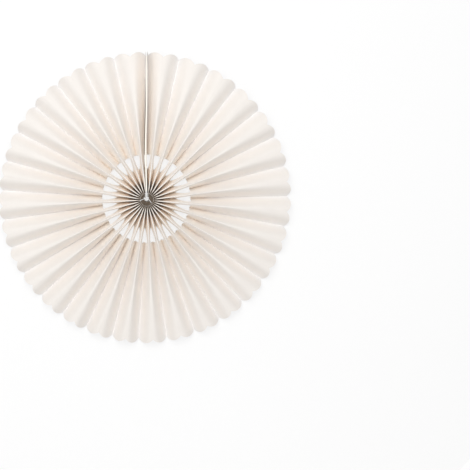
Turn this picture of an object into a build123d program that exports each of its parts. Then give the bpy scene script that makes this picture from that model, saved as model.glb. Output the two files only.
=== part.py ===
from build123d import *
import os
from math import asin, atan2, cos, degrees, pi, radians, sin, sqrt

# A party fan rosette: one long paper strip in accordion folds, opened to a full disc.
# Its two end panels are stuck back to back and stand forward as a fin at the top.
# Millimetres. The disc is upright: +Z is up along the fin, the front faces -Y, and the
# back folds lie in the plane Y = 0, against the wall. The origin is the hub on that wall.

# The paper strip
OUTER_RADIUS = 200.0  # hub to the tips of the rim's scallops
INNER_RADIUS = 3.2  # hub to the gathered inner ends of the panels
PANEL_WIDTH = 30.0  # fold to fold, the same from hub to rim
PAPER = 0.25  # thickness of the paper
PLEATS_PER_SIDE = 15  # front ridges on each side of the fin
RIGHT_TURN = 183.1  # degrees from the fin clockwise to the bottom fold, on the viewer's right
RIGHT_SWING = 0.061  # how much wider than the mean the pleats next to the fin are spread
LEFT_SWING = 0.074
GATHER_RADIUS = 14.0  # hub to where the panels leave the tight gather
TWIST_STEPS = 6  # from there to the rim, a panel's twist is drawn as this many flat facets
CUT_STEPS = 7  # straight cuts that a rounded die edge is drawn with

# The scallop at the rim end of each panel, and the half-moon window punched in each back fold
SCALLOP_RISE = 5.5
WINDOW_END = 60.5  # hub to the window's straight edge, which is square to the fold
WINDOW_RADIUS = 19.5  # of its round edge, which bulges towards the hub

# The strip of white double-sided foam tape in the fin, which shows as a line down its front
TAPE_THICKNESS = 1.4
TAPE_WIDTH = 12.0
TAPE_SETBACK = 0.4  # from the fin's front edge
TAPE_START = 12.0  # hub to its inner end
TAPE_RIM_GAP = 2.0  # short of the rim's notches

# The thread drawn through a hole in every panel, brought out beside the fin and knotted
THREAD = 0.5  # across its six sides
TIE_RADIUS = 9.0  # of the thread's ring around the hub
TIE_SETBACK = 2.5  # from the panels' front edge back to the ring
HOLE_SLACK = 0.4  # by how much a hole is wider than the thread
THREAD_CLEARANCE = 0.05  # between the thread and the paper that it lies against
KNOT_LENGTH = 4.8
KNOT_WIDTH = 3.4
KNOT_CHAMFER = 0.8
KNOT_PLACE = 1.6  # up from the hub
TAIL_LENGTH = 6.5
RIGHT_TAIL = 38.0  # degrees of each tail from straight down
LEFT_TAIL = 66.0
THREAD_SIDES = 6

TRIM_MARGIN = 2.0  # what is cut away reaches this much past the paper
FLAT = 1e-9  # four corners less than this out of plane make one flat face

NOTCH_RADIUS = OUTER_RADIUS - SCALLOP_RISE
FIN_HALF = TAPE_THICKNESS / 2 + PAPER
FOLDS_PER_SIDE = 2 * PLEATS_PER_SIDE
TIE_DEPTH = PANEL_WIDTH - TIE_SETBACK
RIGHT, LEFT = 1, -1
TURN = {RIGHT: RIGHT_TURN, LEFT: 360 - RIGHT_TURN}
SWING = {RIGHT: RIGHT_SWING, LEFT: LEFT_SWING}
TAIL_SPREAD = {RIGHT: RIGHT_TAIL, LEFT: LEFT_TAIL}

# The disc is modelled lying on its back, with x to the viewer's right, y up the fin and z
# to the front, and is stood up at the end.
STAND_UP = Rot(90, 0, 0)
FRONT = Vector(0, 0, 1)


def stations():
    """Radii of the sections: the hub, even steps from the gather to the notches, the offcut."""
    step = (NOTCH_RADIUS - GATHER_RADIUS) / TWIST_STEPS
    steps = [GATHER_RADIUS + step * number for number in range(TWIST_STEPS)]
    return [INNER_RADIUS, *steps, NOTCH_RADIUS, OUTER_RADIUS + TRIM_MARGIN]


STATIONS = stations()


def valley_angle(side, fold, radius):
    """Degrees from the fin to a back fold: the folds share the turn that the fin leaves over."""
    share = fold / FOLDS_PER_SIDE
    spread = share + SWING[side] / pi * sin(pi * share)
    fin_angle = degrees(asin(FIN_HALF / radius))
    return fin_angle + (TURN[side] - fin_angle) * spread


def fold_point(side, fold, radius):
    """Where a fold is at this radius, seen from the front. Even folds are back folds."""
    if fold % 2 == 0:
        angle = valley_angle(side, fold, radius)
    else:
        angle = (valley_angle(side, fold - 1, radius) + valley_angle(side, fold + 1, radius)) / 2
    return Vector(side * radius * sin(radians(angle)), radius * cos(radians(angle)))


def point_on_fold(side, fold, radius):
    """A place between two sections, on the straight piece of fold that joins them."""
    near = max(station for station in STATIONS if station <= radius)
    far = STATIONS[STATIONS.index(near) + 1]
    start, end = fold_point(side, fold, near), fold_point(side, fold, far)
    return start + (end - start) * ((radius - near) / (far - near))


def panel_height(ridge, valley):
    """Depth that is left of the panel's width once its two folds are this far apart."""
    return sqrt(PANEL_WIDTH**2 - (valley - ridge).length ** 2)


def panel_section(ridge, valley):
    """The paper between a ridge and a back fold, cut through half of each pressed fold.

    Corners go down the front from the ridge, and back up behind."""
    gap = (valley - ridge).length
    height = panel_height(ridge, valley)
    pressed = (valley - ridge) * (PAPER * (PANEL_WIDTH - gap) / height / gap)
    top, bottom = ridge + FRONT * height, valley
    return [top, top + pressed, bottom + FRONT * PAPER, bottom, bottom - pressed, top - FRONT * PAPER]


def strip_faces(near, far):
    """The faces between two sections, each from its ridge side to its valley side. One that
    twists is two flat triangles, so that the front and the back bend along the same line."""
    for i, j in [(0, 1), (1, 2), (2, 3), (4, 3), (5, 4), (5, 0)]:
        corners = [near[i], near[j], far[j], far[i]]
        normal = (corners[1] - corners[0]).cross(corners[2] - corners[0]).normalized()
        if abs((corners[3] - corners[0]).dot(normal)) < FLAT:
            yield Face(Wire.make_polygon(corners))
        else:
            yield Face(Wire.make_polygon([corners[0], corners[1], corners[2]]))
            yield Face(Wire.make_polygon([corners[0], corners[2], corners[3]]))


def strip(sections):
    """One panel's paper through its sections from the hub to past the rim."""
    faces = [Face(Wire.make_polygon(sections[0])), Face(Wire.make_polygon(sections[-1]))]
    for near, far in zip(sections, sections[1:]):
        faces.extend(strip_faces(near, far))
    return Solid(Shell(faces))


def arc_points(start, end, rise):
    """Points on a round die edge from start to end, which stands this far off their chord."""
    chord = end - start
    bend = 4 * atan2(rise, chord.length / 2)
    radius = chord.length / 2 / sin(bend / 2)
    centre = (start + end) / 2 + Vector(-chord.Y, chord.X).normalized() * (rise - radius)
    spoke = start - centre
    turns = [-degrees(bend) * step / CUT_STEPS for step in range(CUT_STEPS + 1)]
    return [centre + spoke.rotate(Axis.Z, turn) for turn in turns]


def rim_offcut(notch, height, edge):
    """What the die takes off past the scallop of a panel this high, seen from its side."""
    reach = OUTER_RADIUS + 2 * TRIM_MARGIN
    scallop = arc_points(Vector(notch, height - edge), Vector(notch, edge), SCALLOP_RISE)
    outline = [
        (notch, height + TRIM_MARGIN),
        *scallop,
        (notch, -TRIM_MARGIN),
        (reach, -TRIM_MARGIN),
        (reach, height + TRIM_MARGIN),
    ]
    return make_face(Polyline(*outline, close=True))


def window(end):
    """Half of a half-moon punch through the back fold, seen from the panel's side."""
    turns = [radians(90 * step / CUT_STEPS) for step in range(CUT_STEPS + 1)]
    punch = [(end - WINDOW_RADIUS * cos(turn), WINDOW_RADIUS * sin(turn)) for turn in turns]
    below = [(end, -TRIM_MARGIN), (end - WINDOW_RADIUS, -TRIM_MARGIN)]
    return make_face(Polyline(*punch, *below, close=True))


def thread_hole():
    """It is wider than the thread all round, because the panels turn a little across the ring."""
    return Pos(TIE_RADIUS, TIE_DEPTH) * RegularPolygon((THREAD + HOLE_SLACK) / 2, THREAD_SIDES)


def panel(side, number):
    """One panel between two folds, with its scallop, its share of a window and its hole."""
    folds = (number, number - 1) if number % 2 else (number - 1, number)
    ends = [[fold_point(side, fold, radius) for fold in folds] for radius in STATIONS]
    blank = strip([panel_section(*pair) for pair in ends])
    ridge, valley = ends[STATIONS.index(NOTCH_RADIUS)]
    out = (ridge + valley).normalized()
    side_view = Plane((0, 0, 0), x_dir=out, z_dir=out.cross(FRONT))
    window_end = point_on_fold(side, folds[1], WINDOW_END).dot(out)
    offcut = rim_offcut(ridge.dot(out), panel_height(ridge, valley), PAPER)
    punched = offcut + window(window_end) + thread_hole()
    return blank - extrude(side_view * punched, amount=PANEL_WIDTH, both=True)


def fin_half(side):
    """An end panel of the strip: it stands straight up beside the tape."""
    inner, end, notch = [
        point_on_fold(side, 0, radius).Y for radius in (INNER_RADIUS, WINDOW_END, NOTCH_RADIUS)
    ]
    blank = Pos((inner + OUTER_RADIUS) / 2, PANEL_WIDTH / 2) * Rectangle(OUTER_RADIUS - inner, PANEL_WIDTH)
    blank -= rim_offcut(notch, PANEL_WIDTH, 0)
    blank -= window(end)
    blank -= thread_hole()
    face = Plane((side * TAPE_THICKNESS / 2, 0, 0), x_dir=(0, 1, 0), z_dir=(1, 0, 0))
    return extrude(face * blank, amount=side * PAPER)


def pleated_paper():
    """The whole strip: panels joined along their pressed folds, and the two end panels."""
    sides = (RIGHT, LEFT)
    panels = [panel(side, number) for side in sides for number in range(1, FOLDS_PER_SIDE + 1)]
    first, *others = panels + [fin_half(side) for side in sides]
    return first.fuse(*others)


def seam_tape():
    """It lies between the fin's two panels, along their front edges."""
    length = fold_point(RIGHT, 0, NOTCH_RADIUS).Y - TAPE_RIM_GAP - TAPE_START
    middle = (0, TAPE_START + length / 2, PANEL_WIDTH - TAPE_SETBACK - TAPE_WIDTH / 2)
    return Pos(*middle) * Box(TAPE_THICKNESS, length, TAPE_WIDTH)


def knot(lowest):
    """A lump a little longer than it is wide, lying across the fin's inner end."""
    lump = extrude(Plane.YZ * RegularPolygon(KNOT_WIDTH / 2, THREAD_SIDES), KNOT_LENGTH / 2, both=True)
    ends = lump.faces().filter_by(Axis.X)
    half_height = lump.bounding_box().max.Z
    return Pos(0, KNOT_PLACE, lowest + half_height) * chamfer(ends.edges(), KNOT_CHAMFER)


def tie_thread():
    """A ring through every hole, two ends along the fin, a knot at the hub and two tails."""
    profile = RegularPolygon(THREAD / 2, THREAD_SIDES)
    front = PANEL_WIDTH + THREAD_CLEARANCE
    lie = front + THREAD / 2
    groove = (FIN_HALF + fold_point(RIGHT, 1, TIE_RADIUS).X - PAPER) / 2
    turn = degrees(asin(groove / TIE_RADIUS))
    section = Plane.XZ * Pos(TIE_RADIUS, TIE_DEPTH) * profile
    thread = Rot(0, 0, 90 + turn) * revolve(section, Axis.Z, 360 - 2 * turn) + knot(front)
    for side in (RIGHT, LEFT):
        rise = Vector(side * groove, sqrt(TIE_RADIUS**2 - groove**2))
        at_knot = Vector(side * KNOT_LENGTH / 4, KNOT_PLACE, lie)
        spread = radians(TAIL_SPREAD[side])
        tail = Vector(side * sin(spread), -cos(spread)) * TAIL_LENGTH
        low, high = rise + FRONT * (TIE_DEPTH - THREAD / 2), rise + FRONT * lie
        route = Polyline(low, high, at_knot, at_knot + tail)
        thread += sweep(Plane(low, z_dir=FRONT) * profile, route, transition=Transition.RIGHT)
    return thread


os.makedirs("parts", exist_ok=True)
for name, piece in {
    "pleated_paper": pleated_paper(),
    "seam_tape": seam_tape(),
    "tie_thread": tie_thread(),
}.items():
    export_step(STAND_UP * piece, f"parts/{name}.step")
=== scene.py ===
import random
from math import asin, atan2, cos, exp, pi, radians, sin, sqrt

import bmesh
import bpy
from bpy.props import FloatProperty, FloatVectorProperty, IntProperty, PointerProperty
from mathutils import Matrix, Quaternion, Vector, noise


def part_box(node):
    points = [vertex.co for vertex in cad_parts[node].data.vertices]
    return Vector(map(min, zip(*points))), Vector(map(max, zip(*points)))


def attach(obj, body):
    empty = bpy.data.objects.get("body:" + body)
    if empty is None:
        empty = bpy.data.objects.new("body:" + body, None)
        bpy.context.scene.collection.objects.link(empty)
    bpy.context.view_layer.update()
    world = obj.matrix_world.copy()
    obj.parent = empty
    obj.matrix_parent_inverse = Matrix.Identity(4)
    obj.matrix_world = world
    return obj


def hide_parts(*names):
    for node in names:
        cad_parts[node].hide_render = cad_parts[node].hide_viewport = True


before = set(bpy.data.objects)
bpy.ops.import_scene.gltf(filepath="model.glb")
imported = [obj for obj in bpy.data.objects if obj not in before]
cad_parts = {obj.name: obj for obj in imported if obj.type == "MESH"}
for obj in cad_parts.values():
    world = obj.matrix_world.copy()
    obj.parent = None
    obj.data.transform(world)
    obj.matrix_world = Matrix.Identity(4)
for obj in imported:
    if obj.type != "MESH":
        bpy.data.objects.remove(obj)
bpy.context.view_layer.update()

bl_info = {
    "name": "Paper Fan Rosette",
    "version": (1, 0, 0),
    "blender": (4, 5, 0),
    "location": "3D View > Sidebar > Rosette",
    "description": "A pleated paper fan opened to a full disc, with its glued fin and its tied hub",
    "category": "Object",
}

# Metres, in the frame of the solids: the hub is at the origin, +Z is up along the fin, the
# front faces -Y and the back folds lie in the plane Y = 0.
FIN_LOW, FIN_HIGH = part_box("pleated_paper")
PANEL_WIDTH = FIN_HIGH.y - FIN_LOW.y  # the fin stands a panel's full width forward
OUTER_RADIUS = 0.200
INNER_RADIUS = 0.0032
PLEATS_PER_SIDE = 15
RIGHT_TURN = radians(183.1)  # from the fin to the bottom fold, on the right
RIGHT_SWING = 0.061  # the share that pleats are wider near the fin, and narrower at the bottom
LEFT_SWING = 0.074
SCALLOP_RISE = 0.0055
WINDOW_END = 0.0605
WINDOW_RADIUS = 0.0195
TAPE_WIDTH = 0.012
TAPE_SETBACK = 0.0004
TAPE_START = 0.012
TAPE_RIM_GAP = 0.001
TIE_RADIUS = 0.009
TIE_SETBACK = 0.0025
HOLE_RADIUS = 0.00045
KNOT_LENGTH = 0.0082
KNOT_WIDTH = 0.0058
KNOT_PLACE = 0.0016
TAIL_LENGTH = 0.0078
RIGHT_TAIL = radians(38)
LEFT_TAIL = radians(66)
TAIL_BOW = 0.0004
THREAD_CLEARANCE = 0.00005

NOTCH_RADIUS = OUTER_RADIUS - SCALLOP_RISE
WINDOW_START = WINDOW_END - WINDOW_RADIUS
HALF_FOLDS = 2 * PLEATS_PER_SIDE
FOLDS = 2 * HALF_FOLDS
RIGHT, LEFT = 1, -1
TURN = {RIGHT: RIGHT_TURN, LEFT: 2 * pi - RIGHT_TURN}
SWING = {RIGHT: RIGHT_SWING, LEFT: LEFT_SWING}
RIM_SPREAD = 2 * OUTER_RADIUS * sin(pi / FOLDS)  # between neighbouring folds at the rim
FRONT = Vector((0, -1, 0))
MERGE = 1e-6  # points closer than this are one
SHARP_TURN = radians(60)  # an edge that turns more than this stays sharp

# Where a flat panel is cut for its bends: across it at these distances from the hub, and
# along it at these distances from its ridge and its back fold
HUB_STATIONS = (0.006, 0.012, 0.016, 0.021, 0.027, 0.033)
STATION_STEP = 0.0075
WINDOW_STEPS = 5
SCALLOP_SHARES = (0.35, 0.65, 0.88)
RIDGE_LINES = (0.00012, 0.00035, 0.0007, 0.0013, 0.0037, 0.0052, 0.0070, 0.0092, 0.0118, 0.0145)
VALLEY_LINES = (0.0002, 0.0006, 0.0013, 0.0026)
MIDDLE_LINES = 2
CUT_STEPS = 12
HOLE_CORNERS = 1.5 * HOLE_RADIUS  # the hole's corners lie within this of its centre

# Light and shade painted into the grooves, each fading out from its first distance from the hub to its
# second:
# cream is painted light, peach a painted warm shade, and dark the painted shade deep near the hub
CREAM_REACH = (0.050, 0.100)
PEACH_REACH = (0.020, 0.050)
DARK_REACH = (0.011, 0.030)
SHADE_DEPTH = 0.0060  # how far below a ridge the paper has its groove's full painted tone
RIDGE_SHARE = 0.65  # how much of that painted tone a ridge has near the hub
RIDGE_REACH = (0.030, 0.070)
CENTRE_REACH = (0.0095, 0.0190)  # the gathered ends have all of the painted tone, up to the ridge
CREASE_WIDTH = 0.0120
CREASE_REACH = (0.060, 0.090)  # the paler, greyer tone painted along the back folds, against the warm light bounced in them, fades in over these
SHADE_STEPS = 4  # from the painted crease tone to plain paper, painted cream light, painted peach shade and the darkest painted shade

# The soft waves in the panels: how many a metre, along a panel and across it, and how far apart
# the waves of two neighbouring panels are in the noise
WAVES_ALONG = 28
WAVES_ACROSS = 45
WAVES_APART = 9.1

# The thread's plies, in shares of its diameter, and how finely the thread and the tape are divided
PLY_RADIUS = 0.31
PLY_OFFSET = 0.19
PLIES = 2
PLY_RESOLUTION = 1  # six sides
STEPS_A_TURN = 10
KNOT_STEPS = 96
ROUTE_STEPS = 8
TAPE_SEGMENTS = (60, 3)

# The finish of paper, tape, thread and floor
GRAIN_HEIGHT = 0.0001
ROUGHNESS = 0.85
SPECULAR = 0.25

# The photograph's view: its size in pixels, the hub's pixel, and the scale at the hub
PHOTO_SIZE = 470
HUB_PIXEL = (146.36, 198.37)
PIXEL = OUTER_RADIUS / 144.6
CAMERA_DISTANCE = 1.8
CAMERA_TO_RIGHT = radians(-1.5)
CAMERA_ABOVE = radians(3.5)
FIN_LEAN = radians(0.1)
SENSOR = 36.0

# The soft lamp and the rest of the stage
KEY_PLACE = Vector((-0.20, -1.35, 0.44))
KEY_SIZE = 1.0
DISC_SEGMENTS = 128
DIFFUSE_BOUNCES = 12  # light passes many times between the walls of pale grooves


class RosettePaperSettings(bpy.types.PropertyGroup):
    colour: FloatVectorProperty(
        name="Paper", description="Colour of the paper", subtype="COLOR", size=3,
        default=(0.905, 0.862, 0.818),
    )
    # Painted shade: the cut edges are darker than the paper, for the thin grey outline of shade along the
    # rim
    painted_cut_shade_colour: FloatVectorProperty(
        name="Cut edge", description="Colour of the fibres at a cut", subtype="COLOR", size=3,
        default=(0.80, 0.78, 0.75),
    )
    # Painted light: a paler, greyer tone along the back folds that takes the warmth out of the light
    # bounced in them
    painted_crease_tone: FloatVectorProperty(
        name="Crease", description="Colour of the paper along the back folds", subtype="COLOR", size=3,
        default=(0.895, 0.877, 0.863),
    )
    # Painted light: a paler, warm tone that stands for light reaching down into the grooves
    painted_cream_light_colour: FloatVectorProperty(
        name="Cream shade", description="Colour of the paper down in the grooves", subtype="COLOR", size=3,
        default=(0.962, 0.925, 0.882),
    )
    # Painted shade: a warm, darker tone that stands for the shade in the grooves nearer the hub
    painted_peach_shade_colour: FloatVectorProperty(
        name="Peach shade", description="Colour of the paper in the grooves nearer the hub",
        subtype="COLOR", size=3, default=(0.945, 0.868, 0.790),
    )
    # Painted shade: this dark stands for the shade deep in the hub's grooves and on the gathered ends
    painted_dark_shade_colour: FloatVectorProperty(
        name="Hub shade", description="Colour of the paper deep in the hub's grooves",
        subtype="COLOR", size=3, default=(0.31, 0.245, 0.185),
    )
    thickness: FloatProperty(
        name="Thickness", description="Thickness of the paper", unit="LENGTH", default=0.00025
    )
    ridge_round: FloatProperty(
        name="Ridge rounding", description="How far from a ridge at the rim the paper bends",
        unit="LENGTH", default=0.0145,
    )
    valley_round: FloatProperty(
        name="Valley rounding", description="How far from a back fold at the rim the paper bends",
        unit="LENGTH", default=0.0002,
    )
    bead: FloatProperty(
        name="Fold bead", description="How far a closed fold's two layers bulge apart near the hub",
        unit="LENGTH", default=0.0006,
    )
    bulge: FloatProperty(
        name="Bulge", description="How far a panel's middle stands off flat at the rim",
        unit="LENGTH", default=0.0012,
    )
    waviness: FloatProperty(
        name="Waviness", description="Height of the soft waves in a panel", unit="LENGTH", default=0.00025
    )
    uneven: FloatProperty(
        name="Unevenness", description="How far a fold strays sideways at the rim", unit="LENGTH",
        default=0.0006,
    )
    splay: FloatProperty(
        name="Splay", description="How far each fin panel's loose tip bends aside", unit="LENGTH",
        default=0.0006,
    )
    seed: IntProperty(name="Seed", description="Picks the unevenness of the folds", default=4)


class RosetteTieSettings(bpy.types.PropertyGroup):
    colour: FloatVectorProperty(
        name="Thread", description="Colour of the cotton thread", subtype="COLOR", size=3,
        default=(0.985, 0.985, 0.975),
    )
    diameter: FloatProperty(
        name="Diameter", description="Thickness of the thread", unit="LENGTH", default=0.0008
    )
    lay: FloatProperty(
        name="Lay", description="Length of one turn of the plies", unit="LENGTH", default=0.0022
    )
    tape_colour: FloatVectorProperty(
        name="Tape", description="Colour of the tape in the fin", subtype="COLOR", size=3,
        default=(0.99, 0.945, 0.855),
    )
    tape_thickness: FloatProperty(
        name="Tape thickness", description="Thickness of the tape in the fin", unit="LENGTH",
        default=0.0018,
    )


class RosetteStageSettings(bpy.types.PropertyGroup):
    floor_drop: FloatProperty(
        name="Floor", description="How far the floor lies below the hub", unit="LENGTH", default=0.6
    )
    floor_radius: FloatProperty(
        name="Floor radius", description="Radius of the round floor", unit="LENGTH", default=0.72
    )
    floor_colour: FloatVectorProperty(
        name="Floor colour", description="Colour of the floor", subtype="COLOR", size=3,
        default=(0.9, 0.9, 0.9),
    )
    wall_radius: FloatProperty(
        name="Wall radius", description="Radius of the round wall behind", unit="LENGTH", default=0.597
    )
    wall_gap: FloatProperty(
        name="Wall gap", description="How far behind the back folds the wall is", unit="LENGTH",
        default=0.0005,
    )
    wall_shade: FloatProperty(
        name="Wall shade", description="How much of the shade on the wall shows", subtype="FACTOR",
        default=0.28,
    )
    key_power: FloatProperty(
        name="Key lamp", description="Power of the soft lamp", unit="POWER", default=12.0
    )
    fill: FloatProperty(
        name="Fill", description="Strength of the light from all sides", default=0.52
    )


def smooth_step(share):
    """Eases from 0 to 1 as the share does."""
    share = min(max(share, 0), 1)
    return share * share * (3 - 2 * share)


def near_hub(radius, reach):
    """1 up to the first radius of this reach, and 0 from the second."""
    start, end = reach
    return 1 - smooth_step((radius - start) / (end - start))


class FoldedStrip:
    """Where a point of the flat strip lies once the strip is folded, tied and opened to a disc.

    Folds are counted clockwise, from the right foot of the fin to its left foot. Even folds are
    back folds and odd ones ridges, and the fin's two front edges count as the ridges beyond."""

    EDGE_SHIFT = 0.0006  # how far left the fin's front edge stands all along
    BOW_SIZE = 0.0015  # and how much further where it bows most
    BOW_PLACE = 0.070
    BOW_REACH = 0.040
    LEFT_GAP = 0.0020  # between the tape and the fin's left panel, at its widest
    LEFT_GAP_REACH = 0.050  # it opens over this distance from the hub
    LEFT_GAP_FADE = (0.045, OUTER_RADIUS)  # and closes from the first of these to the second
    SPLAY_START = 0.172
    BEAD_REACH = 0.0035
    BEAD_SHARE = 0.3  # the most that a bead may be of the way to the next fold
    BEAD_END = 0.5  # how open, against the rim, a fold is where its bead is gone
    BEAD_SCALE = 3.5  # brings the bead's widest place to its full size

    def __init__(self, paper, tie):
        self.paper = paper
        self.half = paper.thickness / 2
        self.fin_sheet = tie.tape_thickness / 2 + self.half
        draw = random.Random(paper.seed)
        self.stray = {fold: draw.uniform(-1, 1) * paper.uneven for fold in range(1, FOLDS)}
        self.stray[HALF_FOLDS] = 0
        self.phase = draw.uniform(0, 10)
        self.places = {}

    def valley_angle(self, side, fold, radius):
        """From the fin to a back fold: the folds share the turn that the fin leaves over."""
        share = fold / HALF_FOLDS
        spread = share + SWING[side] / pi * sin(pi * share)
        fin_angle = asin(self.fin_sheet / radius)
        return fin_angle + (TURN[side] - fin_angle) * spread

    def angle(self, fold, radius):
        """Clockwise from straight up."""
        side = RIGHT if fold <= HALF_FOLDS else LEFT
        number = fold if side == RIGHT else FOLDS - fold
        if number % 2 == 0:
            turn = self.valley_angle(side, number, radius)
        else:
            turn = sum(self.valley_angle(side, near, radius) for near in (number - 1, number + 1)) / 2
        return side * turn + self.stray.get(fold, 0) * radius / OUTER_RADIUS**2

    def fin_wave(self, radius):
        """How far to the right the fin's front edge stands: it bows left, most between hub and rim."""
        return -self.EDGE_SHIFT - self.BOW_SIZE * exp(-(((radius - self.BOW_PLACE) / self.BOW_REACH) ** 2))

    def fin_edge(self, side, radius):
        """A fin panel's front edge, on the tape, but for the slot on the left and the loose tips."""
        aside = self.fin_sheet
        if side == LEFT:
            slot = smooth_step(radius / self.LEFT_GAP_REACH) * near_hub(radius, self.LEFT_GAP_FADE)
            aside += self.LEFT_GAP * slot
        aside += self.paper.splay * (1 - near_hub(radius, (self.SPLAY_START, OUTER_RADIUS)))
        return Vector((side * aside + self.fin_wave(radius), self.half - PANEL_WIDTH, radius))

    def find_place(self, fold, radius):
        """Works out what place() then keeps."""
        if fold < 0:
            return self.fin_edge(RIGHT, radius)
        if fold > FOLDS:
            return self.fin_edge(LEFT, radius)
        angle = self.angle(fold, radius)
        foot = Vector((radius * sin(angle), -self.half, radius * cos(angle)))
        if fold % 2:
            apart = sum((self.place(near, radius) - foot).length for near in (fold - 1, fold + 1)) / 2
            foot += FRONT * (sqrt(PANEL_WIDTH**2 - apart**2) - 2 * self.half)
        return foot

    def place(self, fold, radius):
        """A fold's place this far from the hub, in the middle of the paper's thickness."""
        key = (fold, radius)
        if key not in self.places:
            self.places[key] = self.find_place(fold, radius)
        return self.places[key]

    def bend(self, corner, here, there, distance, reach):
        """A point this far from a fold, on a round bend between the panels on its two sides."""
        share = (1 - distance / reach) / 2
        return corner + reach * (
            (1 - share) ** 2 * (here - corner).normalized() + share**2 * (there - corner).normalized()
        )

    def bead(self, distance, open_share):
        """How far the paper stands off beside a fold that is nearly closed."""
        share = distance / self.BEAD_REACH
        if share >= 1:
            return 0
        size = min(self.paper.bead, self.BEAD_SHARE * open_share * RIM_SPREAD)
        closed = 1 - smooth_step(open_share / self.BEAD_END)
        return size * closed * self.BEAD_SCALE * sqrt(share) * (1 - share) ** 2

    def point(self, panel, across, radius):
        """The place of a point of the flat panel, which runs from its back fold to its ridge."""
        valley, ridge = (panel, panel - 1) if panel % 2 == 0 else (panel - 1, panel)
        bottom, top = self.place(valley, radius), self.place(ridge, radius)
        below = PANEL_WIDTH - across
        open_share = Vector((top.x - bottom.x, 0, top.z - bottom.z)).length / RIM_SPREAD
        ridge_reach = max(self.paper.ridge_round * open_share**2, MERGE)
        valley_reach = max(self.paper.valley_round * open_share, MERGE)
        share = across / PANEL_WIDTH
        if below < ridge_reach and 0 < ridge < FOLDS:
            spot = self.bend(top, bottom, self.place(2 * ridge - valley, radius), below, ridge_reach)
        elif across < valley_reach:
            spot = self.bend(bottom, top, self.place(2 * valley - ridge, radius), across, valley_reach)
        else:
            spot = bottom.lerp(top, share)
        if 0 < panel <= FOLDS:
            out = Vector((bottom.x + top.x, 0, bottom.z + top.z)).normalized()
            normal = (top - bottom).cross(out).normalized()
            if normal.y > 0:
                normal.negate()
            wave = noise.noise(
                (radius * WAVES_ALONG, across * WAVES_ACROSS + panel * WAVES_APART, self.phase)
            )
            lift = (self.paper.bulge + self.paper.waviness * wave) * sin(pi * share)
            lift *= smooth_step(radius / OUTER_RADIUS)
            lift += self.bead(below, open_share) - self.bead(across, open_share)
            spot += normal * lift
        return spot


def spin_cut(bm, start, end, rise):
    """Spins a vertex from start to end along a round cut that stands this far off their chord."""
    chord = end.co - start.co
    bend = 4 * atan2(rise, chord.length / 2)
    radius = chord.length / 2 / sin(bend / 2)
    centre = (start.co + end.co) / 2 + Vector((-chord.y, chord.x, 0)).normalized() * (rise - radius)
    bmesh.ops.spin(bm, geom=[start], cent=centre, axis=(0, 0, -1), angle=bend, steps=CUT_STEPS)


def cut_line(bm, place, along):
    """Cuts the flat sheet right through at this place, for a bend there."""
    bmesh.ops.bisect_plane(
        bm, geom=bm.verts[:] + bm.edges[:] + bm.faces[:], dist=MERGE, plane_co=along * place, plane_no=along
    )


def panel_blank():
    """One flat panel with its scallop, its share of a window and its thread hole.

    x is the distance from the hub, and y runs from the back fold to the ridge."""
    bm = bmesh.new()
    corners = [
        bm.verts.new((x, y, 0))
        for x, y in (
            (NOTCH_RADIUS, PANEL_WIDTH),
            (INNER_RADIUS, PANEL_WIDTH),
            (INNER_RADIUS, 0),
            (WINDOW_START, 0),
            (WINDOW_END, WINDOW_RADIUS),
            (WINDOW_END, 0),
            (NOTCH_RADIUS, 0),
        )
    ]
    ridge_end, ridge_start, valley_start, window_start, window_corner, window_end, valley_end = corners
    for pair in (ridge_end, ridge_start), (ridge_start, valley_start), (valley_start, window_start):
        bm.edges.new(pair)
    bm.edges.new((window_corner, window_end))
    bm.edges.new((window_end, valley_end))
    spin_cut(bm, window_start, window_corner, WINDOW_RADIUS * (1 - sqrt(0.5)))
    spin_cut(bm, ridge_end, valley_end, SCALLOP_RISE)
    bmesh.ops.remove_doubles(bm, verts=bm.verts, dist=MERGE)
    bmesh.ops.contextual_create(bm, geom=bm.verts[:] + bm.edges[:])

    across, along = Vector((1, 0, 0)), Vector((0, 1, 0))
    window_step = (WINDOW_END - WINDOW_START) / WINDOW_STEPS
    stations = list(HUB_STATIONS)
    stations += [TIE_RADIUS + step * HOLE_RADIUS for step in (-1, 0, 1)]
    stations += [WINDOW_START + window_step * step for step in range(WINDOW_STEPS + 1)]
    rows = round((NOTCH_RADIUS - WINDOW_END) / STATION_STEP)
    stations += [WINDOW_END + (NOTCH_RADIUS - WINDOW_END) * row / rows for row in range(1, rows + 1)]
    stations += [NOTCH_RADIUS + SCALLOP_RISE * share for share in SCALLOP_SHARES]
    for place in stations:
        cut_line(bm, place, across)
    ridge_lines = [PANEL_WIDTH - distance for distance in RIDGE_LINES]
    low, high = max(VALLEY_LINES), min(ridge_lines)
    middle = [low + (high - low) * step / (MIDDLE_LINES + 1) for step in range(1, MIDDLE_LINES + 1)]
    hole_line = PANEL_WIDTH - TIE_SETBACK
    holes = [hole_line + step * HOLE_RADIUS for step in (-1, 0, 1)]
    for place in (*VALLEY_LINES, *middle, *ridge_lines, *holes):
        cut_line(bm, place, along)

    centre = Vector((TIE_RADIUS, hole_line, 0))
    inside = [face for face in bm.faces if (face.calc_center_median() - centre).length < HOLE_RADIUS]
    bmesh.ops.delete(bm, geom=inside, context="FACES")
    for vert in bm.verts:
        spoke = vert.co - centre
        if MERGE < spoke.length < HOLE_CORNERS:
            vert.co = centre + spoke.normalized() * HOLE_RADIUS
    mesh = bpy.data.meshes.new("panel_blank")
    bm.to_mesh(mesh)
    bm.free()
    return mesh


def new_object(name, mesh, *materials):
    """An object of the rosette or the stage."""
    piece = bpy.data.objects.new(name, mesh)
    bpy.context.scene.collection.objects.link(piece)
    for material in materials:
        mesh.materials.append(material)
    return piece


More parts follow.
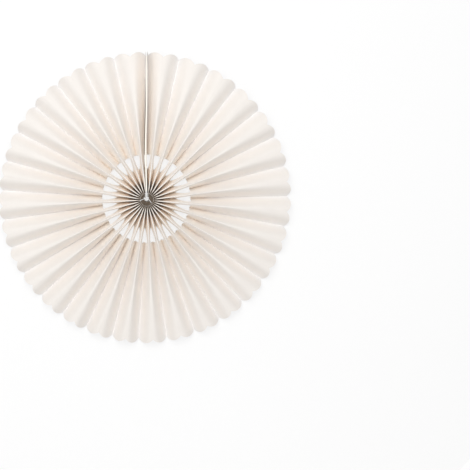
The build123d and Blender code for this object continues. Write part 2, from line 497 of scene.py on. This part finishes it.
def shade_smooth(mesh):
    """Smooth shading, but for the edges that turn sharply."""
    bm = bmesh.new()
    bm.from_mesh(mesh)
    for face in bm.faces:
        face.smooth = True
    for edge in bm.edges:
        edge.smooth = edge.is_boundary or edge.calc_face_angle(0) < SHARP_TURN
    bm.to_mesh(mesh)
    bm.free()


def thicken(piece, name, thickness, **settings):
    """Gives a sheet its thickness, to both sides alike."""
    wall = piece.modifiers.new(name, "SOLIDIFY")
    wall.thickness = thickness
    wall.offset = 0
    for setting, value in settings.items():
        setattr(wall, setting, value)
    graph = bpy.context.evaluated_depsgraph_get()
    mesh = bpy.data.meshes.new_from_object(piece.evaluated_get(graph))
    piece.modifiers.clear()
    piece.data = mesh


def painted_light_and_shade(across, radius):
    """The front's painted light and shade: 0 for the painted crease tone, then plain, painted cream light,
    painted peach shade, and 1 for the darkest painted shade.
    """
    below = max(
        smooth_step((PANEL_WIDTH - across) / SHADE_DEPTH),
        RIDGE_SHARE * near_hub(radius, RIDGE_REACH),
        near_hub(radius, CENTRE_REACH),
    )
    stages = sum(near_hub(radius, reach) for reach in (CREAM_REACH, PEACH_REACH, DARK_REACH))
    crease = (1 - smooth_step(across / CREASE_WIDTH)) * (1 - near_hub(radius, CREASE_REACH))
    return (1 - crease + below * stages) / SHADE_STEPS


def fold_strip(paper, tie):
    """The whole strip, folded, as a sheet with no thickness yet."""
    blank = panel_blank()
    strip = FoldedStrip(paper, tie)
    bm = bmesh.new()
    uv = bm.loops.layers.uv.new("sheet")
    # the painted light and shade in the grooves, kept at each point for the front's colour
    shade_layer = bm.verts.layers.float.new("painted_light_and_shade")
    for panel in range(FOLDS + 2):
        first_vert, first_face = len(bm.verts), len(bm.faces)
        bm.from_mesh(blank)
        bm.verts.ensure_lookup_table()
        bm.faces.ensure_lookup_table()
        turned = panel % 2 == 1
        for face in bm.faces[first_face:]:
            for loop in face.loops:
                x, y, _ = loop.vert.co
                loop[uv].uv = (x, panel * PANEL_WIDTH + (y if turned else PANEL_WIDTH - y))
        for vert in bm.verts[first_vert:]:
            radius, across, _ = vert.co
            vert[shade_layer] = painted_light_and_shade(across, radius)
            vert.co = strip.point(panel, across, radius)
    bmesh.ops.remove_doubles(bm, verts=bm.verts, dist=MERGE)
    bmesh.ops.recalc_face_normals(bm, faces=bm.faces)
    if sum(face.normal.dot(FRONT) for face in bm.faces) < 0:
        bmesh.ops.reverse_faces(bm, faces=bm.faces)
    mesh = bpy.data.meshes.new("pleated_paper_sheet")
    bm.to_mesh(mesh)
    bm.free()
    bpy.data.meshes.remove(blank)
    return mesh


def tape_sheet(paper, tie):
    """The tape's middle layer, bowed as the fin's front edge is."""
    strip = FoldedStrip(paper, tie)
    bm = bmesh.new()
    # A square from -0.5 to 0.5, whose points then move to the tape's
    bmesh.ops.create_grid(bm, x_segments=TAPE_SEGMENTS[0], y_segments=TAPE_SEGMENTS[1], size=0.5)
    length = NOTCH_RADIUS - TAPE_RIM_GAP - TAPE_START
    for vert in bm.verts:
        radius = TAPE_START + (vert.co.x + 0.5) * length
        setback = TAPE_SETBACK + (0.5 - vert.co.y) * TAPE_WIDTH
        lean = strip.fin_wave(radius) * (1 - setback / PANEL_WIDTH)
        vert.co = (lean, setback - PANEL_WIDTH, radius)
    mesh = bpy.data.meshes.new("seam_tape_sheet")
    bm.to_mesh(mesh)
    bm.free()
    return mesh


def thread_route(strip, tie):
    """Control points of the thread: a tail, up beside the fin, through every hole, and back."""
    lie = -PANEL_WIDTH - tie.diameter / 2 - THREAD_CLEARANCE
    holes = [strip.point(panel, PANEL_WIDTH - TIE_SETBACK, TIE_RADIUS) for panel in range(1, FOLDS + 1)]
    aside = strip.fin_wave(KNOT_PLACE)
    ends = []
    for side, hole, tail in ((RIGHT, holes[0], RIGHT_TAIL), (LEFT, holes[-1], LEFT_TAIL)):
        groove = (aside + side * (strip.fin_sheet + strip.half) + hole.x) / 2
        knot = Vector((aside + side * KNOT_LENGTH / 4, lie, KNOT_PLACE))
        end = knot + TAIL_LENGTH * Vector((side * sin(tail), 0, -cos(tail)))
        middle = knot.lerp(end, 0.5) + Vector((0, -TAIL_BOW, TAIL_BOW))
        over = Vector((groove, lie, TIE_RADIUS))
        down = Vector((groove, hole.y - TIE_SETBACK / 2, TIE_RADIUS))
        ends.append([end, middle, knot, knot.lerp(over, 0.5), over, down])
    right, left = ends
    return right + holes + left[::-1]


def curve_mesh(curve):
    """The mesh that the curve makes, with the curve itself removed."""
    holder = bpy.data.objects.new(curve.name, curve)
    mesh = bpy.data.meshes.new_from_object(holder)
    bpy.data.objects.remove(holder)
    bpy.data.curves.remove(curve)
    return mesh


def smooth_route(points):
    """Closely spaced points along the smooth curve that these control points steer."""
    curve = bpy.data.curves.new("route", "CURVE")
    curve.dimensions = "3D"
    spline = curve.splines.new("NURBS")
    spline.points.add(len(points) - 1)
    for point, place in zip(spline.points, points):
        point.co = (*place, 1)
    spline.order_u = 3
    spline.use_endpoint_u = True
    spline.resolution_u = ROUTE_STEPS
    mesh = curve_mesh(curve)
    route = [vert.co.copy() for vert in mesh.vertices]
    bpy.data.meshes.remove(mesh)
    return route


def knot_route(strip, tie):
    """A tight overhand knot: the thread goes over and under itself in three lobes."""
    low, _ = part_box("tie_thread")
    depth = KNOT_WIDTH * cos(pi / 6)
    centre = Vector((strip.fin_wave(KNOT_PLACE), low.y + depth / 2, KNOT_PLACE))
    wide, high, deep = (size / 2 - tie.diameter / 2 for size in (KNOT_LENGTH, KNOT_WIDTH, depth))
    route = []
    for step in range(KNOT_STEPS + 1):
        turn = 2 * pi * step / KNOT_STEPS
        x = wide * (sin(turn) + 2 * sin(2 * turn)) / 3
        z = high * (cos(turn) - 2 * cos(2 * turn)) / 3
        route.append(centre + Vector((x, deep * sin(3 * turn), z)))
    return route


def even_steps(route, step):
    """The route again with its points this far apart."""
    places, left_over = [route[0].copy()], 0.0
    for start, end in zip(route, route[1:]):
        length = (end - start).length
        place = step - left_over
        while place <= length:
            places.append(start.lerp(end, place / length))
            place += step
        left_over = length - (place - step)
    return places


def twist_plies(route, tie):
    """The thread's plies twisted round each other along a route, as one mesh."""
    places = even_steps(route, tie.lay / STEPS_A_TURN)
    curve = bpy.data.curves.new("plies", "CURVE")
    curve.dimensions = "3D"
    curve.bevel_depth = tie.diameter * PLY_RADIUS
    curve.bevel_resolution = PLY_RESOLUTION
    curve.use_fill_caps = True
    normal = Vector((0, 1, 0))
    frames = []
    for number, place in enumerate(places):
        ahead = places[min(number + 1, len(places) - 1)] - places[max(number - 1, 0)]
        ahead.normalize()
        normal = (normal - ahead * normal.dot(ahead)).normalized()
        frames.append((place, normal.copy(), ahead.cross(normal)))
    for ply in range(PLIES):
        spline = curve.splines.new("POLY")
        spline.points.add(len(frames) - 1)
        for number, (place, first, second) in enumerate(frames):
            turn = 2 * pi * (number / STEPS_A_TURN + ply / PLIES)
            spot = place + (first * cos(turn) + second * sin(turn)) * tie.diameter * PLY_OFFSET
            spline.points[number].co = (*spot, 1)
    return curve_mesh(curve)


def thread_mesh(paper, tie):
    """The thread and its knot."""
    strip = FoldedStrip(paper, tie)
    bm = bmesh.new()
    for route in (smooth_route(thread_route(strip, tie)), knot_route(strip, tie)):
        mesh = twist_plies(route, tie)
        bm.from_mesh(mesh)
        bpy.data.meshes.remove(mesh)
    bmesh.ops.remove_doubles(bm, verts=bm.verts, dist=MERGE)
    bmesh.ops.recalc_face_normals(bm, faces=bm.faces)
    mesh = bpy.data.meshes.new("thread")
    bm.to_mesh(mesh)
    bm.free()
    return mesh


def node(tree, kind, inputs=None, **settings):
    """A shader node with its settings and the values or links of its inputs."""
    made = tree.nodes.new(kind)
    for name, value in settings.items():
        setattr(made, name, value)
    for name, value in (inputs or {}).items():
        if isinstance(value, bpy.types.NodeSocket):
            tree.links.new(value, made.inputs[name])
        else:
            made.inputs[name].default_value = value
    return made


def maths(tree, operation, first, second):
    """The result of a Math node."""
    return node(tree, "ShaderNodeMath", {0: first, 1: second}, operation=operation).outputs[0]


def empty_material(name):
    """A material whose nodes are still to be made, and their tree."""
    material = bpy.data.materials.new(name)
    material.use_nodes = True
    material.node_tree.nodes.clear()
    return material, material.node_tree


def noise_pattern(tree, vector, scale, detail, roughness):
    """The value of a noise texture."""
    inputs = {"Vector": vector, "Scale": scale, "Detail": detail, "Roughness": roughness}
    return node(tree, "ShaderNodeTexNoise", inputs).outputs[0]


def around_zero(tree, pattern, amount):
    """The pattern times this amount, with its middle at 0."""
    return maths(tree, "MULTIPLY", maths(tree, "SUBTRACT", pattern, 0.5), amount)


def fibre_group():
    """Shared by all the rosette's materials: cloudy tone, fine fibre grain and its height."""
    if "fibre_finish" in bpy.data.node_groups:
        return bpy.data.node_groups["fibre_finish"]
    group = bpy.data.node_groups.new("fibre_finish", "ShaderNodeTree")
    for name, kind in (
        ("Vector", "NodeSocketVector"), ("Colour", "NodeSocketColor"),
        ("Clouds", "NodeSocketFloat"), ("Cloud Scale", "NodeSocketFloat"),
        ("Grain", "NodeSocketFloat"), ("Grain Scale", "NodeSocketFloat"),
        ("Roughness", "NodeSocketFloat"),
    ):
        group.interface.new_socket(name=name, in_out="INPUT", socket_type=kind)
    for name, kind in (
        ("Colour", "NodeSocketColor"), ("Roughness", "NodeSocketFloat"), ("Height", "NodeSocketFloat")
    ):
        group.interface.new_socket(name=name, in_out="OUTPUT", socket_type=kind)
    given = group.nodes.new("NodeGroupInput").outputs
    vector = given["Vector"]
    clouds = noise_pattern(group, vector, given["Cloud Scale"], detail=3.0, roughness=0.55)
    grain = noise_pattern(group, vector, given["Grain Scale"], detail=4.0, roughness=0.7)
    cloud_tone = around_zero(group, clouds, given["Clouds"])
    grain_tone = around_zero(group, grain, given["Grain"])
    both = maths(group, "ADD", cloud_tone, grain_tone)
    toned = node(
        group, "ShaderNodeVectorMath", {0: given["Colour"], "Scale": maths(group, "ADD", both, 1.0)},
        operation="SCALE",
    ).outputs[0]
    rough = maths(group, "SUBTRACT", given["Roughness"], both)
    node(group, "NodeGroupOutput", {"Colour": toned, "Roughness": rough, "Height": grain})
    return group


def fibre_material(
    name, colour, vector, clouds, grain, bump, cloud_scale=60.0, grain_scale=2500.0, shades=()
):
    """A matt fibre material. The vector function adds the node that the pattern follows."""
    material, tree = empty_material(name)
    tone = (*colour, 1)
    # the ramp paints light and shade into the grooves: painted crease tone, plain paper, painted cream
    # light, painted peach shade, darkest painted shade
    if shades:
        place = node(tree, "ShaderNodeAttribute", attribute_name="painted_light_and_shade").outputs["Fac"]
        ramp = node(tree, "ShaderNodeValToRGB", {"Fac": place})
        tones = (shades[0], colour, *shades[1:])
        for number in range(1, len(tones) - 1):
            ramp.color_ramp.elements.new(number / (len(tones) - 1))
        for stop, shown in zip(ramp.color_ramp.elements, tones):
            stop.color = (*shown, 1)
        tone = ramp.outputs["Color"]
    finish = node(
        tree, "ShaderNodeGroup",
        {
            "Vector": vector(tree), "Colour": tone, "Clouds": clouds, "Cloud Scale": cloud_scale,
            "Grain": grain, "Grain Scale": grain_scale, "Roughness": ROUGHNESS,
        },
        node_tree=fibre_group(),
    ).outputs
    relief = node(
        tree, "ShaderNodeBump", {"Height": finish["Height"], "Strength": bump, "Distance": GRAIN_HEIGHT}
    )
    shader = node(
        tree, "ShaderNodeBsdfPrincipled",
        {
            "Base Color": finish["Colour"], "Roughness": finish["Roughness"],
            "Normal": relief.outputs["Normal"], "Specular IOR Level": SPECULAR,
        },
    )
    node(tree, "ShaderNodeOutputMaterial", {"Surface": shader.outputs["BSDF"]})
    return material


def sheet_vector(tree):
    """The paper's own flat coordinates."""
    return node(tree, "ShaderNodeUVMap", uv_map="sheet").outputs["UV"]


def object_vector(tree):
    """The piece's own place, in metres."""
    return node(tree, "ShaderNodeTexCoord").outputs["Object"]


class ROSETTE_OT_pleated_paper(bpy.types.Operator):
    """Fold the paper strip and open it to a disc"""

    bl_idname = "rosette.pleated_paper"
    bl_label = "Pleated Paper"

    def execute(self, context):
        paper, tie = context.scene.rosette_paper, context.scene.rosette_tie
        surface = {"clouds": 0.05, "grain": 0.03, "bump": 0.12}
        # the painted crease tone, painted cream light, painted peach shade and painted dark shade of the
        # grooves
        shades = (paper.painted_crease_tone, paper.painted_cream_light_colour, paper.painted_peach_shade_colour, paper.painted_dark_shade_colour)
        front = fibre_material("ivory_paper_front", paper.colour, sheet_vector, **surface, shades=shades)
        back = fibre_material("ivory_paper_back", paper.colour, sheet_vector, **surface)
        # the cut edges' darker colour is painted shade
        cut = fibre_material(
            "paper_cut_edge", paper.painted_cut_shade_colour, sheet_vector, clouds=0.02, grain=0.05, bump=0.3
        )
        piece = new_object("folded_paper", fold_strip(paper, tie), front, back, cut)
        thicken(
            piece, "paper_thickness", paper.thickness,
            use_even_offset=False, material_offset=1, material_offset_rim=2,
        )
        shade_smooth(piece.data)
        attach(piece, "root")
        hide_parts("pleated_paper")
        return {"FINISHED"}


class ROSETTE_OT_seam_tape(bpy.types.Operator):
    """Lay the double-sided tape between the fin's panels"""

    bl_idname = "rosette.seam_tape"
    bl_label = "Seam Tape"

    def execute(self, context):
        paper, tie = context.scene.rosette_paper, context.scene.rosette_tie
        foam = fibre_material(
            "tape", tie.tape_colour, object_vector, clouds=0.04, grain=0.02, bump=0.05, grain_scale=900.0
        )
        piece = new_object("fin_tape", tape_sheet(paper, tie), foam)
        thicken(piece, "tape_thickness", tie.tape_thickness)
        shade_smooth(piece.data)
        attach(piece, "root")
        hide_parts("seam_tape")
        return {"FINISHED"}


class ROSETTE_OT_tie_thread(bpy.types.Operator):
    """Twist the thread round the hub and knot it"""

    bl_idname = "rosette.tie_thread"
    bl_label = "Tie Thread"

    def execute(self, context):
        paper, tie = context.scene.rosette_paper, context.scene.rosette_tie
        cotton = fibre_material(
            "cotton_thread", tie.colour, object_vector, clouds=0.02, grain=0.04, bump=0.2,
            cloud_scale=900.0, grain_scale=9000.0,
        )
        piece = new_object("cotton_tie", thread_mesh(paper, tie), cotton)
        shade_smooth(piece.data)
        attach(piece, "root")
        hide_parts("tie_thread")
        return {"FINISHED"}


def place_camera(scene):
    """Stands the camera where the hub falls on its pixel of the photograph."""
    data = bpy.data.cameras.new("camera")
    data.sensor_width = SENSOR
    focal_pixels = CAMERA_DISTANCE / PIXEL
    data.lens = SENSOR * focal_pixels / PHOTO_SIZE
    camera = bpy.data.objects.new("camera", data)
    scene.collection.objects.link(camera)
    place = CAMERA_DISTANCE * Vector(
        (
            sin(CAMERA_TO_RIGHT) * cos(CAMERA_ABOVE),
            -cos(CAMERA_TO_RIGHT) * cos(CAMERA_ABOVE),
            sin(CAMERA_ABOVE),
        )
    )
    middle = PHOTO_SIZE / 2
    ray = Vector((HUB_PIXEL[0] - middle, middle - HUB_PIXEL[1], -focal_pixels)).normalized()
    to_hub = (-place).to_track_quat("-Z", "Y")
    lean = Quaternion((0, 0, 1), FIN_LEAN)
    aside = ray.rotation_difference(Vector((0, 0, -1)))
    camera.matrix_world = Matrix.Translation(place) @ (to_hub @ lean @ aside).to_matrix().to_4x4()
    scene.camera = camera


def add_lamp(scene, name, place, size, power):
    """A square soft lamp aimed at the hub."""
    data = bpy.data.lights.new(name, "AREA")
    data.shape = "SQUARE"
    data.size = size
    data.energy = power
    lamp = bpy.data.objects.new(name, data)
    lamp.matrix_world = Matrix.Translation(place) @ (-place).to_track_quat("-Z", "Y").to_matrix().to_4x4()
    scene.collection.objects.link(lamp)


def seen_ray(tree):
    """1 for what the camera sees, straight, mirrored or through glass, and 0 for what lights paper."""
    path = node(tree, "ShaderNodeLightPath").outputs
    seen = path["Is Camera Ray"]
    for ray in ("Is Glossy Ray", "Is Transmission Ray"):
        seen = maths(tree, "MAXIMUM", seen, path[ray])
    return seen


def floor_material(colour):
    """Plain and matt."""
    material, tree = empty_material("floor_matt")
    shader = node(
        tree, "ShaderNodeBsdfPrincipled",
        {"Base Color": (*colour, 1), "Roughness": ROUGHNESS, "Specular IOR Level": SPECULAR},
    )
    node(tree, "ShaderNodeOutputMaterial", {"Surface": shader.outputs["BSDF"]})
    return material


def wall_material(shade):
    """White with some of the shade that falls on it, seen from the front only, and no light of its own."""
    material, tree = empty_material("wall_white")
    white = node(tree, "ShaderNodeEmission").outputs[0]
    matt = node(tree, "ShaderNodeBsdfDiffuse", {"Color": (1, 1, 1, 1)}).outputs[0]
    face = node(tree, "ShaderNodeMixShader", {0: shade, 1: white, 2: matt}).outputs[0]
    front = maths(tree, "SUBTRACT", 1.0, node(tree, "ShaderNodeNewGeometry").outputs["Backfacing"])
    shown = maths(tree, "MULTIPLY", front, seen_ray(tree))
    clear = node(tree, "ShaderNodeBsdfTransparent").outputs[0]
    result = node(tree, "ShaderNodeMixShader", {0: shown, 1: clear, 2: face}).outputs[0]
    node(tree, "ShaderNodeOutputMaterial", {"Surface": result})
    return material


def make_world(scene, fill):
    """White to the camera and in reflections, and an even soft fill for the paper."""
    world = bpy.data.worlds.new("white_room")
    world.use_nodes = True
    tree = world.node_tree
    tree.nodes.clear()
    strength = node(tree, "ShaderNodeMapRange", {"Value": seen_ray(tree), "To Min": fill, "To Max": 1.0})
    background = node(
        tree, "ShaderNodeBackground", {"Color": (1, 1, 1, 1), "Strength": strength.outputs["Result"]}
    )
    node(tree, "ShaderNodeOutputWorld", {"Surface": background.outputs["Background"]})
    scene.world = world


def disc_mesh(name, radius, place):
    """A flat round sheet."""
    bm = bmesh.new()
    bmesh.ops.create_circle(bm, cap_ends=True, segments=DISC_SEGMENTS, radius=radius, matrix=place)
    mesh = bpy.data.meshes.new(name)
    bm.to_mesh(mesh)
    bm.free()
    return mesh


class ROSETTE_OT_stage(bpy.types.Operator):
    """Set the floor, the wall, the soft light and the camera"""

    bl_idname = "rosette.stage"
    bl_label = "Stage"

    def execute(self, context):
        scene = context.scene
        stage = scene.rosette_stage
        below = Matrix.Translation((0, 0, -stage.floor_drop))
        mesh, material = disc_mesh("floor", stage.floor_radius, below), floor_material(stage.floor_colour)
        new_object("floor", mesh, material)
        behind = Matrix.Translation((0, stage.wall_gap, 0)) @ Matrix.Rotation(radians(90), 4, "X")
        mesh = disc_mesh("wall", stage.wall_radius, behind)
        new_object("wall", mesh, wall_material(stage.wall_shade))
        add_lamp(scene, "soft_key", KEY_PLACE, KEY_SIZE, stage.key_power)
        make_world(scene, stage.fill)
        place_camera(scene)
        scene.view_settings.view_transform = "Standard"
        scene.cycles.diffuse_bounces = DIFFUSE_BOUNCES
        return {"FINISHED"}


class ROSETTE_PT_sidebar(bpy.types.Panel):
    """Lists the rosette's pieces and their sizes and colours"""

    bl_idname = "ROSETTE_PT_sidebar"
    bl_label = "Paper Fan Rosette"
    bl_space_type = "VIEW_3D"
    bl_region_type = "UI"
    bl_category = "Rosette"

    def draw(self, context):
        for name in SETTINGS:
            box = self.layout.box()
            settings = getattr(context.scene, name)
            for item in settings.__annotations__:
                box.prop(settings, item)
        for operator in OPERATORS:
            self.layout.operator(operator.bl_idname)


SETTINGS = {
    "rosette_paper": RosettePaperSettings,
    "rosette_tie": RosetteTieSettings,
    "rosette_stage": RosetteStageSettings,
}
OPERATORS = (ROSETTE_OT_pleated_paper, ROSETTE_OT_seam_tape, ROSETTE_OT_tie_thread, ROSETTE_OT_stage)
CLASSES = (*SETTINGS.values(), *OPERATORS, ROSETTE_PT_sidebar)


def register():
    for made in CLASSES:
        bpy.utils.register_class(made)
    for name, settings in SETTINGS.items():
        setattr(bpy.types.Scene, name, PointerProperty(type=settings))


def unregister():
    for name in SETTINGS:
        delattr(bpy.types.Scene, name)
    for made in reversed(CLASSES):
        bpy.utils.unregister_class(made)


def main():
    register()
    bpy.ops.rosette.pleated_paper()
    bpy.ops.rosette.seam_tape()
    bpy.ops.rosette.tie_thread()
    bpy.ops.rosette.stage()


if __name__ == "__main__":
    main()
